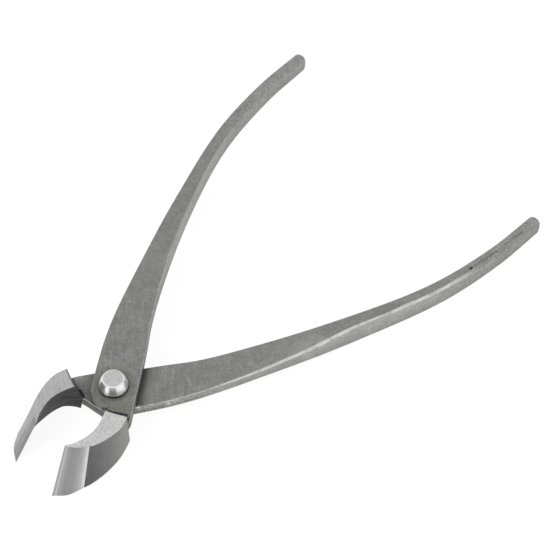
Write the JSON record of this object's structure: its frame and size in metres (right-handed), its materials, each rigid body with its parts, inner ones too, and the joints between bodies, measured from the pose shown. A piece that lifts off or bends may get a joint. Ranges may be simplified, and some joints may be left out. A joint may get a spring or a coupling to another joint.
{
  "type": "bonsai scissors",
  "caption": "Long-handled concave branch cutter: two forged arms, half lapped on one rivet, nipping at curved end jaws.",
  "frame": {"origin": "on the pivot axis, at the flat lower face of the rivet's tail", "axes": "+X from the pivot towards the handles, jaws towards -X; +Y towards the upper arm's handle, with Y = 0 the plane the cutting edges meet in; +Z along the pivot, out of the rivet's head"},
  "size_m": [0.2009, 0.1226, 0.0198],
  "materials": {
    "blasted_steel": "forged, hardened and bead blasted to a matte grey, jaw faces ground bright",
    "turned_steel": "turned bright"
  },
  "bodies": {
    "lower": {"lower_arm": "blasted_steel", "pivot_rivet": "turned_steel", "rivet_washer": "turned_steel"},
    "upper": {"upper_arm": "blasted_steel"}
  },
  "joints": [
    {"name": "arm_pivot", "type": "hinge", "parent": "lower", "child": "upper", "pos_m": [0, 0, 0.0072], "axis": [0, 0, 1], "range_deg": [-26, 54]}
  ]
}
